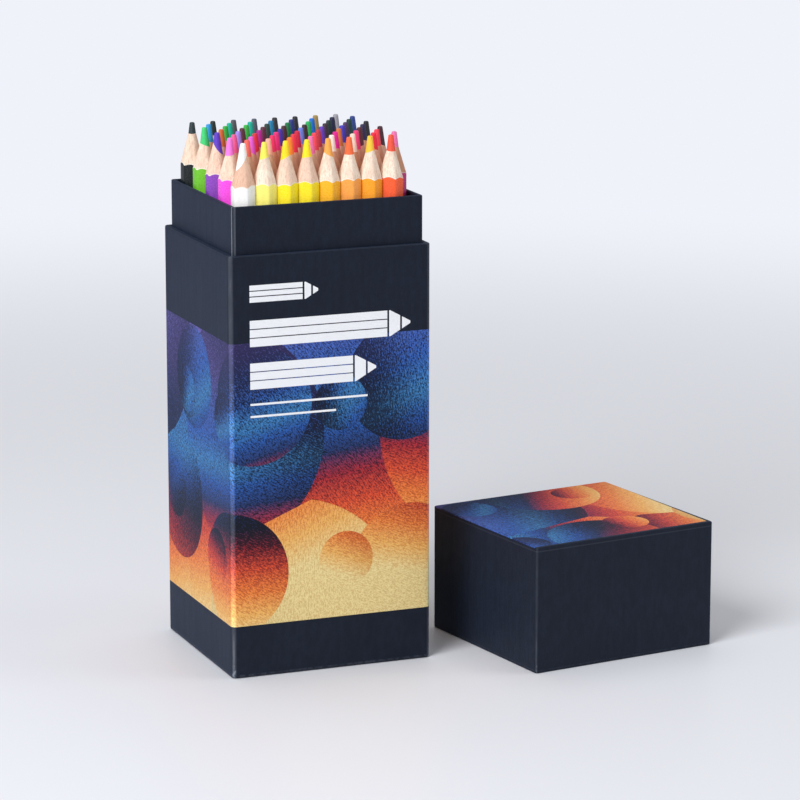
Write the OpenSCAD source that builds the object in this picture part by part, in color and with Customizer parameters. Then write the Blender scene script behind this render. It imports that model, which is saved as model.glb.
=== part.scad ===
// Pencil box with a shoulder neck and a lift-off lid, standing open with its lid set down beside it.
// Millimetres, +Z up. The origin is the centre of the body's underside, and the front faces -Y.
// The body and the lid are rigid trays of greyboard wrapped in paper. A thinner board neck stands
// inside the body, proud of its rim, and holds nine rows of eight sharpened hexagonal pencils.

/* [Pencils] */
// Length of a sharpened pencil, from its flat end to its point
pencil_length = 173.2; // [160:0.2:190]
// Width of a pencil across its flats
pencil_flats = 7.2; // [6.6:0.1:8]
// Radius that rounds the six edges of a barrel
barrel_round = 2; // [0.6:0.1:2.4]
// Diameter of the coloured core
core_d = 2.8; // [2.4:0.1:4]
// Diameter of the blunt point
tip_d = 1.6; // [1:0.1:2.2]
// Radius that rounds the point's edge
tip_round = 0.4; // [0.1:0.1:0.45]
// Length of the core that stands out of the wood
point_length = 5.2; // [2:0.1:8]
// Full angle of the wood's sharpened cone
sharpen_angle = 27; // [18:0.5:34]

/* [Box] */
// Height of the body's outer wall
body_height = 140; // [130:1:146]
// How far the neck stands proud of the body
neck_rise = 15.6; // [8:0.1:20]
// Free height over the points of the pencils when the lid is closed
lid_headroom = 5.9; // [1:0.1:10]
// Radius of the body's vertical corners
body_corner_round = 1.8; // [0.6:0.1:2.4]
// Radius of the neck's vertical corners
neck_corner_round = 1.8; // [0.6:0.1:2]
// Radius of the lid's vertical corners
lid_corner_round = 1; // [0.6:0.1:2.4]

/* [Board and paper] */
// Thickness of the greyboard of the body and the lid
tray_board = 1.5; // [1:0.1:2.5]
// Thickness of the neck's board
neck_board_t = 1; // [0.6:0.1:2]
// Thickness of the wrapping paper
paper = 0.15; // [0.1:0.05:0.25]
// Thickness of the tape that stays the corners
stay_t = 0.1; // [0.05:0.05:0.15]
// Width of a corner stay on each wall
stay_w = 9; // [5:1:14]
// How far the wrap is turned in over a rim
turn_in = 14; // [8:1:25]
// How far the body's wrap is turned under its base
base_turn = 12; // [6:1:20]
// How far the neck's wrap is turned in over its rim
neck_turn_in = 40; // [20:1:60]
// Margin of the base cover inside the body's outline
cover_margin = 1.2; // [0.8:0.1:4]

/* [Fits] */
// Gap between neighbouring pencils, flat to flat
pencil_gap = 0.2; // [0.15:0.05:0.5]
// Gap between the pencils and the neck
wall_gap = 0.2; // [0.15:0.05:0.5]
// Glue line round a core
core_fit = 0.03; // [0.02:0.01:0.05]
// Wood left round the core where it comes out of the cone
wood_edge = 0.08; // [0.04:0.02:0.15]
// Gap on each side between the neck and the tray that it fits, body or lid
neck_fit = 0.1; // [0.05:0.05:0.3]
// Gap round the liner on the body's floor
sheet_fit = 0.3; // [0.2:0.1:1]
// Slit left where two walls of a board part at a corner
corner_parting = 0.2; // [0.1:0.05:0.4]

/* [Lid beside the body] */
// Clear distance from the body's right side to the lid
lid_gap = 15; // [5:1:60]
// How far the lid stands forward of the body's centre
lid_forward = 26.4; // [0:0.2:60]
// Angle that the lid is turned anticlockwise
lid_turn = 8.4; // [0:0.2:45]

/* [Hidden] */
// Faces on round edges and points
$fn = 48;
// How far a cut runs past the face that it opens
cut = 1;

// Nine rows of eight, 72 pencils
rows = 9;
per_row = 8;
middle_row = (rows + 1) / 2;

// Honeycomb spacing: rows run left to right with flats facing, and every other row is half a pitch on
pitch = pencil_flats + pencil_gap;
row_pitch = pitch * cos(30);
edge_seat = (pencil_flats / 2 - barrel_round) / cos(30);
edge_strips = 3;
barrel_d = 2 * (edge_seat + barrel_round);

// Sharpened end: the wood's cone, and the slimmer cone of the core that stands out of it
wood_slope = tan(sharpen_angle / 2);
bore_d = core_d + 2 * core_fit;
wood_rim = bore_d / 2 + wood_edge;
wood_top = pencil_length - point_length;
point_slope = (core_d - tip_d) / 2 / point_length;

// Inside of the neck, then outwards through the neck and the tray wall
inner_w = (per_row + 0.5) * pitch - pencil_gap + 2 * wall_gap;
inner_d = (rows - 1) * row_pitch + barrel_d + 2 * wall_gap;
neck_wall = neck_board_t + 2 * paper;
neck_w = inner_w + 2 * neck_wall;
neck_d = inner_d + 2 * neck_wall;
mouth_w = neck_w + 2 * neck_fit;
mouth_d = neck_d + 2 * neck_fit;
tray_wall = tray_board + 2 * paper + stay_t;
body_w = mouth_w + 2 * tray_wall;
body_d = mouth_d + 2 * tray_wall;

// Heights in the body: cover, turned-under wrap, base board, liner
wrap_bottom = paper;
board_bottom = wrap_bottom + paper;
liner_bottom = board_bottom + tray_board;
floor_top = liner_bottom + paper;
neck_top = body_height + neck_rise;
tip_top = floor_top + pencil_length;

// The lid closes on the body's rim, so its depth follows from the points of the pencils
lid_height = tip_top - body_height + lid_headroom + tray_board + paper;
lid_half = body_w / 2 * cos(lid_turn) + body_d / 2 * sin(lid_turn);
lid_x = body_w / 2 + lid_gap + lid_half;

board_colour = "#b3a48e";
tape_colour = "#d9cfbb";
paper_colour = "#23262e";
liner_colour = "#2b2e36";
wood_colour = "#ecc9a3";

// Barrel colours, front row first, each row from left to right
barrels = [
  ["#fbfbf8", "#fdf37c", "#fff01f", "#ffe62a", "#ffb548", "#ff7a35", "#ffc31f", "#ff5540"],
  ["#f0685e", "#fbb9a4", "#ff8a30", "#f878b8", "#f8ece4", "#fbe0d2", "#ee2440", "#f478b8"],
  ["#f57ae6", "#e860dc", "#f0306c", "#f2334e", "#f64a5c", "#e8189a", "#f23e80", "#fb4258"],
  ["#ee5f9a", "#dd2440", "#ec2e82", "#d81f48", "#c4384a", "#dc7c42", "#5c2632", "#46222f"],
  ["#6a42c8", "#a68cf0", "#b8209a", "#4a30ac", "#6f88ea", "#6a40c4", "#433cc2", "#2b2a54"],
  ["#d0682e", "#5c2e3c", "#602c42", "#4a2a32", "#3c2e32", "#40323e", "#4b3664", "#27282d"],
  ["#40d478", "#2fae40", "#38b948", "#2b4842", "#127c48", "#2ebc66", "#1c383a", "#174240"],
  ["#2c9ade", "#14b69c", "#16b9a4", "#1c88ba", "#2b3b8c", "#1c78dd", "#1d2248", "#2a4692"],
  ["#26363a", "#20302f", "#55555f", "#566070", "#33353c", "#2c2d37", "#aa9258", "#a9a9b5"],
];

function column_x(r, c) = (c - (per_row + 1) / 2 + (r % 2 == 0 ? 0.25 : -0.25)) * pitch;
function row_y(r) = (r - middle_row) * row_pitch;

// Pencils along the walls are nodes of their own, and those behind them share one with their
// neighbours, by twos, or by threes in the middle row
share = 2;
middle_share = 3;
function single(r) = r == 1 || r == rows;
function inner_groups(size) = [
  for (c = [2 : size : per_row - 1]) [for (k = [c : min(c + size, per_row) - 1]) k]
];
function groups(r) = single(r)
  ? [for (c = [1 : per_row]) [c]]
  : concat([[1]], inner_groups(r == middle_row ? middle_share : share), [[per_row]]);
function group_name(r, g) = len(g) == 1
  ? str("pencil_r", r, "_c", g[0])
  : str("pencils_r", r, "_c", g[0], "_to_c", g[len(g) - 1]);

box_nodes = [
  "body_board", "body_corner_stays", "body_wrap", "base_cover", "base_liner",
  "neck_board", "neck_wrap", "lid_board", "lid_corner_stays", "lid_wrap"
];

// ---- Shapes that repeat ----

// Rectangle centred on the origin with round corners
module round_rect(w, d, r) {
  square([w, d - 2 * r], center = true);
  square([w - 2 * r, d], center = true);
  for (x = [-1, 1], y = [-1, 1])
    translate([x * (w / 2 - r), y * (d / 2 - r)]) circle(r);
}

// Upright block with round corners, from bottom to top
module block(w, d, r, bottom, top) {
  translate([0, 0, bottom]) linear_extrude(top - bottom) round_rect(w, d, r);
}

// Upright block with square corners, from bottom to top
module plain_block(w, d, bottom, top) {
  translate([-w / 2, -d / 2, bottom]) cube([w, d, top - bottom]);
}

// Mitred slit where two walls of a board part at a corner; x and y are the corner's signs
module corner_slit(x, y, w, d, t, slit, bottom, top) {
  translate([x * (w / 2 - t), y * (d / 2 - t), bottom])
    rotate(atan2(y, x))
      translate([-slit, -slit / 2, 0]) cube([2 * t + slit, slit, top - bottom]);
}

// Board of a tray that stands on its closed end, for an outline with corners of the given radius:
// four walls folded up from its base and parted at the corners
module tray_blank(height, bottom, radius) {
  w = body_w - 2 * (paper + stay_t);
  d = body_d - 2 * (paper + stay_t);
  difference() {
    block(w, d, radius - paper - stay_t, bottom, height - paper);
    plain_block(w - 2 * tray_board, d - 2 * tray_board, bottom + tray_board, height);
    for (x = [-1, 1], y = [-1, 1])
      corner_slit(x, y, w, d, tray_board, corner_parting, bottom + tray_board, height);
  }
}

// Tape round the four corners of a tray, between its board and its wrap
module tray_stays(height, bottom, radius) {
  w = body_w - 2 * paper;
  d = body_d - 2 * paper;
  r = radius - paper;
  difference() {
    block(w, d, r, bottom, height - paper);
    block(w - 2 * stay_t, d - 2 * stay_t, r - stay_t, bottom - cut, height + cut);
    plain_block(w + cut, d - 2 * stay_w, bottom - cut, height + cut);
    plain_block(w - 2 * stay_w, d + cut, bottom - cut, height + cut);
  }
}

// Paper round a tray and turned in over its rim, with its closed end at bottom
module tray_wrap(height, bottom, radius) {
  w = body_w - 2 * paper;
  d = body_d - 2 * paper;
  inside_w = mouth_w + 2 * paper;
  inside_d = mouth_d + 2 * paper;
  difference() {
    block(body_w, body_d, radius, bottom, height);
    difference() {
      block(w, d, radius - paper, bottom + paper, height - paper);
      plain_block(inside_w, inside_d, bottom, height);
    }
    plain_block(inside_w, inside_d, bottom + paper, height - turn_in);
    plain_block(mouth_w, mouth_d, bottom + paper, height + cut);
  }
}

// Carries a tray to the lid's place, turned over with its mouth on the ground
module as_lid() {
  translate([lid_x, -lid_forward, lid_height]) rotate([0, 0, lid_turn]) mirror([0, 0, 1]) children();
}

// ---- Pencil ----

// Cross-section of a barrel: a hexagon with a flat towards +X and its edges rounded in narrow strips
module barrel_outline() {
  polygon([
    for (a = [30 : 60 : 330], k = [0 : edge_strips])
      let (turn = a - 30 + 60 * k / edge_strips)
        edge_seat * [cos(a), sin(a)] + barrel_round * [cos(turn), sin(turn)]
  ]);
}

// Hexagonal wood barrel, sharpened to a cone and bored for its core
module casing() {
  difference() {
    intersection() {
      linear_extrude(wood_top) barrel_outline();
      cylinder(r1 = wood_rim + wood_top * wood_slope, r2 = wood_rim, h = wood_top);
    }
    translate([0, 0, -cut]) cylinder(d = bore_d, h = wood_top + 2 * cut);
  }
}

// Coloured core, tapered where it stands out of the wood, with a blunt point
module core() {
  shoulder = pencil_length - tip_round;
  shoulder_r = tip_d / 2 + tip_round * point_slope;
  rotate_extrude()
    intersection() {
      union() {
        polygon([
          [0, 0],
          [core_d / 2, 0],
          [core_d / 2, wood_top],
          [shoulder_r, shoulder],
          [0, shoulder]
        ]);
        translate([shoulder_r - tip_round, shoulder]) circle(tip_round);
        translate([0, shoulder]) square([shoulder_r - tip_round, tip_round]);
      }
      square([core_d, pencil_length]);
    }
}

// The pencils of one node
module pencil_group(r, g) {
  for (c = g)
    translate([column_x(r, c), row_y(r), floor_top]) {
      color(wood_colour) casing();
      color(barrels[r - 1][c - 1]) core();
    }
}

// ---- Body ----

module body_board() {
  color(board_colour) tray_blank(body_height, board_bottom, body_corner_round);
}

module body_corner_stays() {
  color(tape_colour) tray_stays(body_height, board_bottom, body_corner_round);
}

// The wrap's base is cut away inside the strip that is turned under
module body_wrap() {
  color(paper_colour)
    difference() {
      tray_wrap(body_height, wrap_bottom, body_corner_round);
      plain_block(body_w - 2 * base_turn, body_d - 2 * base_turn, -cut, board_bottom + cut);
    }
}

module base_cover() {
  w = body_w - 2 * cover_margin;
  d = body_d - 2 * cover_margin;
  color(paper_colour) block(w, d, body_corner_round, 0, wrap_bottom);
}

module base_liner() {
  w = mouth_w + 2 * paper - 2 * sheet_fit;
  d = mouth_d + 2 * paper - 2 * sheet_fit;
  color(liner_colour) plain_block(w, d, liner_bottom, floor_top);
}

// ---- Neck ----

// A strip of board folded round into a tube, with its two ends parted at the front left corner
module neck_board() {
  w = neck_w - 2 * paper;
  d = neck_d - 2 * paper;
  color(board_colour)
    difference() {
      block(w, d, neck_corner_round - paper, floor_top, neck_top - paper);
      plain_block(w - 2 * neck_board_t, d - 2 * neck_board_t, floor_top - cut, neck_top);
      corner_slit(-1, -1, w, d, neck_board_t, corner_parting, floor_top - cut, neck_top);
    }
}

module neck_wrap() {
  board_w = neck_w - 2 * paper;
  board_d = neck_d - 2 * paper;
  color(paper_colour)
    difference() {
      block(neck_w, neck_d, neck_corner_round, floor_top, neck_top);
      difference() {
        block(board_w, board_d, neck_corner_round - paper, floor_top - cut, neck_top - paper);
        plain_block(inner_w + 2 * paper, inner_d + 2 * paper, floor_top - 2 * cut, neck_top);
      }
      plain_block(inner_w + 2 * paper, inner_d + 2 * paper, floor_top - cut, neck_top - neck_turn_in);
      plain_block(inner_w, inner_d, floor_top - cut, neck_top + cut);
    }
}

// ---- Lid ----

module lid_board() {
  color(board_colour) as_lid() tray_blank(lid_height, paper, lid_corner_round);
}

module lid_corner_stays() {
  color(tape_colour) as_lid() tray_stays(lid_height, paper, lid_corner_round);
}

module lid_wrap() {
  color(paper_colour) as_lid() tray_wrap(lid_height, 0, lid_corner_round);
}

body_board();
body_corner_stays();
body_wrap();
base_cover();
base_liner();
neck_board();
neck_wrap();
lid_board();
lid_corner_stays();
lid_wrap();
for (r = [1 : rows])
  for (g = groups(r))
    pencil_group(r, g);
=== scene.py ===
import random
from math import cos, pi, radians, sin, tan

import bmesh
import bpy
from bpy.props import FloatProperty, FloatVectorProperty, PointerProperty
from bpy.types import Operator, Panel, PropertyGroup
from mathutils import Euler, Matrix, Vector


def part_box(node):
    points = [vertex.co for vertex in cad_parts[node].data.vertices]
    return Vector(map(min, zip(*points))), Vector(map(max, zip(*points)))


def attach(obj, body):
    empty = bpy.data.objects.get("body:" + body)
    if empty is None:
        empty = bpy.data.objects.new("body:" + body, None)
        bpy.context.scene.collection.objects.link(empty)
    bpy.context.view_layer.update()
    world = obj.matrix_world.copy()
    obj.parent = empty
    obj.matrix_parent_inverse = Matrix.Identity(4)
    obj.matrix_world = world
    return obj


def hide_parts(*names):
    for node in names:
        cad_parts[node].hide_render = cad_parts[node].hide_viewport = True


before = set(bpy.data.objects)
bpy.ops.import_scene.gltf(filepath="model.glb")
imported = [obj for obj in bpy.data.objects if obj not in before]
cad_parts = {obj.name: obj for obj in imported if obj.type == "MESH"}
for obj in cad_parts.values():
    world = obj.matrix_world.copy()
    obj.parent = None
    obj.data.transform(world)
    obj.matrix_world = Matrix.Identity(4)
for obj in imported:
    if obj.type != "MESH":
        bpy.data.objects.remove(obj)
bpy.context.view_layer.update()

bl_info = {
    "name": "Pencil Box Looks",
    "version": (1, 0, 0),
    "blender": (4, 5, 0),
    "location": "3D View > Sidebar > Pencil Box",
    "description": "Paper, print, board, pencils and stage for a shoulder box of sharpened pencils",
    "category": "Object",
}

MM = 0.001
BODY_LOW, BODY_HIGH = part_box("body_wrap")
NECK_LOW, NECK_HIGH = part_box("neck_wrap")
LID_LOW, LID_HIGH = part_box("lid_wrap")
LINER_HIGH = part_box("base_liner")[1]

ROWS = 9
PER_ROW = 8

# Barrel colours, front row first, each row from left to right
BARRELS = (
    "#f4f4f2 #fdf27a #ffe81c #ffe51e #ffb91e #ffa64a #ffa420 #ff6030",
    "#f0685e #fbb9a4 #ff8a30 #f878b8 #f8ece4 #fbe0d2 #ee2440 #cf3a86",
    "#f84fe6 #e860dc #f0306c #f2334e #f64a5c #e8189a #f23e80 #fb4258",
    "#ee5f9a #dd2440 #ec2e82 #d81f48 #c4384a #dc7c42 #5c2632 #46222f",
    "#8a45bc #a68cf0 #b8209a #4a30ac #6f88ea #6a40c4 #433cc2 #2b2a54",
    "#d0682e #5c2e3c #602c42 #4a2a32 #3c2e32 #40323e #4b3664 #27282d",
    "#6fc828 #2fae40 #38b948 #2b4842 #127c48 #2ebc66 #1c383a #174240",
    "#2c9ade #14b69c #16b9a4 #1c88ba #2b3b8c #1c78dd #1d2248 #2a4692",
    "#10191b #20302f #55555f #566070 #33353c #2c2d37 #aa9258 #a9a9b5",
)

# Cores whose colour is not their barrel's, by row and column
CORES = {
    (1, 2): "#fbea5c",
    (1, 3): "#ffdc1c",
    (1, 5): "#f9ab4c",
    (1, 6): "#f86c3a",
    (1, 7): "#fdc93a",
    (1, 8): "#f2553c",
    (2, 8): "#f478b8",
    (3, 1): "#f27ade",
    (5, 1): "#5c38c4",
    (7, 1): "#3fcf76",
    (9, 1): "#2a393d",
}

# Pencils that are cut less evenly than the rest, by row and column: how far the core lies off the
# axis, which way, how much longer it shows, and how tanned the wood is
ODD_CUTS = {
    (1, 1): (1.3, 5.93, 0.6, 0.6),
    (1, 2): (0.25, 5.9, 0.0, 0.0),
    (1, 3): (0.4, 5.9, 0.1, 0.28),
    (1, 4): (0.15, 5.2, 0.3, 0.36),
    (1, 5): (0.4, 2.7, 0.0, 0.0),
    (1, 6): (0.05, 1.0, 0.15, 0.0),
    (1, 7): (0.25, 5.9, -0.1, 0.08),
    (1, 8): (0.08, 2.0, 0.0, 0.0),
    (3, 1): (0.15, 0.5, 0.1, 0.12),
    (5, 1): (1.0, 2.7, 0.0, 0.25),
    (7, 1): (0.3, 2.9, 0.3, 0.05),
    (9, 1): (0.12, 1.0, -0.85, 0.17),
}

# What the cuts above set on a pencil, in their order
CUTS = ("drift", "bearing", "reach", "tan")

# The print's colours from cool to warm: a position, the ground, and the strokes laid over it
PRINT_COLOURS = (
    (0.0, "#3a3468", "#7468b8"),
    (0.12, "#212a52", "#4f6cc4"),
    (0.25, "#141b33", "#386ac2"),
    (0.36, "#162c48", "#4489c6"),
    (0.44, "#111829", "#2f60b4"),
    (0.52, "#11131d", "#2a3c70"),
    (0.6, "#3c1420", "#b4303c"),
    (0.7, "#8e2c28", "#ec5a36"),
    (0.8, "#c65a2c", "#f58e44"),
    (0.9, "#d9954c", "#f4bd6a"),
    (1.0, "#d9b878", "#f1dd9e"),
)

# The print's layers of discs, in mm: the cell that holds a disc, its radius, and a shift
DISC_LAYERS = ((78, 40, (11, 3)), (52, 22, (5, 21)), (44, 10, (17, 9)))

# The white pencils and rules on the body's front, in mm: where all start, then where each ends,
# how high it lies and, for a pencil, how tall it is
WHITE_LEFT = 6.5
WHITE_PENCILS = ((30, 127.5, 5.6), (62, 114.5, 8.6), (50, 100.5, 8.6))
WHITE_RULES = ((47, 91.2), (36, 87.2))

BLACK = (0.0, 0.0, 0.0)
WHITE = (1.0, 1.0, 1.0)

# Steps of a wrap round a fold, and how far past a fold its wear and painted highlight have faded out
FOLD_STEPS = 4
RUN_IN = 0.9 * MM

# Steps on a flat of a barrel, round one of its edges, and on both
FLAT_STEPS = 8
EDGE_STEPS = 4
SIDE_STEPS = FLAT_STEPS + EDGE_STEPS

# A pencil's zones, and how far the wood's rim stands out from the core
ZONES = ("Lacquer", "Wood", "Core")
LACQUER, WOOD, CORE = range(3)
RIM = 0.05 * MM


def linear(code):
    """Scene-linear colour of a code such as #23262e."""
    parts = [int(code[i : i + 2], 16) / 255 for i in (1, 3, 5)]
    return tuple(p / 12.92 if p <= 0.04045 else ((p + 0.055) / 1.055) ** 2.4 for p in parts)


def tinted(paint, factor):
    """A colour made darker or lighter."""
    return tuple(part * factor for part in paint)


def number(name, description, default, **kind):
    """A number in the sidebar, with its kind and its limits."""
    return FloatProperty(name=name, description=description, default=default, **kind)


def length(name, description, millimetres):
    """A size in the sidebar, given in millimetres and kept in metres."""
    return number(name, description, millimetres * MM, min=0, precision=5, unit="LENGTH")


def degrees(name, description, value):
    """An angle in the sidebar, given in degrees and kept in radians."""
    return number(name, description, radians(value), subtype="ANGLE")


def power(name, description, watts):
    """A lamp's power in the sidebar."""
    return number(name, description, watts, min=0, unit="POWER")


def colour(name, description, code):
    """A colour in the sidebar."""
    kind = {"min": 0, "max": 1, "size": 3, "subtype": "COLOR"}
    return FloatVectorProperty(name=name, description=description, default=linear(code), **kind)


# ---- Sizes and colours that a user would change ----


class PencilLooks(PropertyGroup):
    """The pencils' shape and finish."""

    flats: length("Across flats", "Width of a barrel between two opposite flats", 7.2)
    edge_round: length("Edge rounding", "Radius that rounds a barrel's six edges", 0.8)
    pencil_length: length("Length", "From the flat end to the point", 173.2)
    core_d: length("Core", "Diameter of the coloured core", 2.8)
    point_d: length("Point", "Diameter of the blunt point", 1.6)
    point_length: length("Point length", "How far the core stands out of the wood", 5.2)
    point_round: length("Point rounding", "Radius that rounds the point's edge", 0.4)
    pitch: length("Pitch", "Distance between neighbouring pencils of a row", 7.27)
    leaning: length("Leaning", "How far the pencils have slid to the right in the box", 0.25)
    off_centre: length("Off centre", "How far off its axis a barrel is sharpened", 0.08)
    core_drift: length("Core drift", "How far a core lies off its pencil's axis, at most", 0.5)
    sharpen_angle: degrees("Sharpening", "Full angle of the wood's sharpened cone", 28.4)
    scallop: number(
        "Scallops",
        "Depth of the lacquer's scalloped edge, as a share of a straight cone's",
        0.32,
        min=0,
        max=1,
        subtype="FACTOR",
    )
    wood: colour("Wood", "Pale wood of the sharpened cone", "#f8e8d5")
    # This darker wood also paints shade on all the pencils behind the front row
    wood_tan_and_shade: colour("Tanned wood", "Wood of the pencils that are darker", "#d99a78")
    wood_grain: colour("Grain", "Darker streaks of the wood", "#dab19a")


class BoxLooks(PropertyGroup):
    """The paper and board of the box."""

    body_round: length("Body corners", "Radius of the body's upright corners", 1.8)
    neck_round: length("Neck corners", "Radius of the neck's upright corners", 1)
    lid_round: length("Lid corners", "Radius of the lid's upright corners", 1)
    fold_round: length("Folds", "Radius of the paper where it folds over a rim", 0.45)
    skin: length("Paper", "Thickness of the paper", 0.13)
    wall: length("Wall", "Thickness of a tray's wall with its paper", 1.9)
    neck_wall: length("Neck wall", "Thickness of the neck's wall with its paper", 1.3)
    turn_in: length("Turn-in", "How far the paper is turned in over a tray's rim", 14)
    neck_turn_in: length("Neck turn-in", "How far the neck's paper is turned in", 40)
    base_turn: length("Base turn", "How far the paper is turned under the base", 12)
    black: colour("Black paper", "Matte black paper", "#141b28")
    # Also the colour of the painted highlights along the folds and corners
    worn_and_highlit: colour("Worn paper", "Paper where a fold has rubbed pale", "#bec7d6")
    board: colour("Board", "Grey pulp board", "#a79a86")
    tape: colour("Tape", "Paper tape inside the corners", "#cdbf9f")
    lid_turn: degrees("Lid turn", "Angle that the lid is turned anticlockwise", 8.4)


class PrintLooks(PropertyGroup):
    """The printed design of hatched discs."""

    bottom: length("Bottom edge", "Height of the print's bottom edge on the body", 17.5)
    top: length("Top edge", "Height of the print's top edge on the body", 111.5)
    lid_margin: length("Lid margin", "Black margin round the print on the lid", 1.2)
    stroke: length("Stroke", "Width of a hatching stroke", 0.48)
    white: colour("White ink", "White of the printed pencils", "#f2f4f8")


class StageLooks(PropertyGroup):
    """The floor, the lamps and the camera."""

    floor: colour("Floor", "Plain pale floor", "#e9ebf2")
    backdrop: colour("Backdrop", "What is seen beyond the floor", "#f0f2fa")
    ambient: number("Ambient", "Strength of the light from all round", 0.3, min=0)
    mirrored: number(
        "Mirrored light", "Strength of the backdrop where a glossy surface mirrors it", 0.4, min=0
    )
    key: power("Key lamp", "Power of the large lamp at the left", 21.2)
    fill: power("Fill lamp", "Power of the lamp at the right", 6)
    over: power("Top lamp", "Power of the lamp overhead", 5)
    lens: number(
        "Lens", "Focal length for a sensor 36 mm wide", 169.89, min=20, subtype="DISTANCE_CAMERA"
    )
    camera_place: FloatVectorProperty(
        name="Camera",
        description="Where the camera stands",
        default=(-0.42427, -1.1528, 0.35471),
        size=3,
        precision=4,
        subtype="TRANSLATION",
        unit="LENGTH",
    )
    camera_turn: degrees("Camera turn", "Angle of the view to the right of straight back", 21.813)
    camera_tilt: degrees("Camera tilt", "Angle that the camera looks down", 12.44)


class PencilBoxLooks(PropertyGroup):
    """All that the sidebar shows."""

    pencils: PointerProperty(type=PencilLooks)
    box: PointerProperty(type=BoxLooks)
    print: PointerProperty(type=PrintLooks)
    stage: PointerProperty(type=StageLooks)


# ---- Node trees, for shaders and for Geometry Nodes ----


def sum_of(operation, swapped=False):
    """A method that makes a Math node from a number and what stands beside it."""

    def method(self, other):
        return self.tree.math(operation, *((other, self) if swapped else (self, other)))

    return method


class Value:
    """A number in a node tree, so that sums on it read as an expression."""

    def __init__(self, tree, socket):
        self.tree = tree
        self.socket = socket

    __add__ = __radd__ = sum_of("ADD")
    __mul__ = __rmul__ = sum_of("MULTIPLY")
    __sub__ = sum_of("SUBTRACT")
    __rsub__ = sum_of("SUBTRACT", swapped=True)
    __truediv__ = sum_of("DIVIDE")
    __rtruediv__ = sum_of("DIVIDE", swapped=True)
    __lt__ = sum_of("LESS_THAN")
    __gt__ = sum_of("GREATER_THAN")


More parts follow.
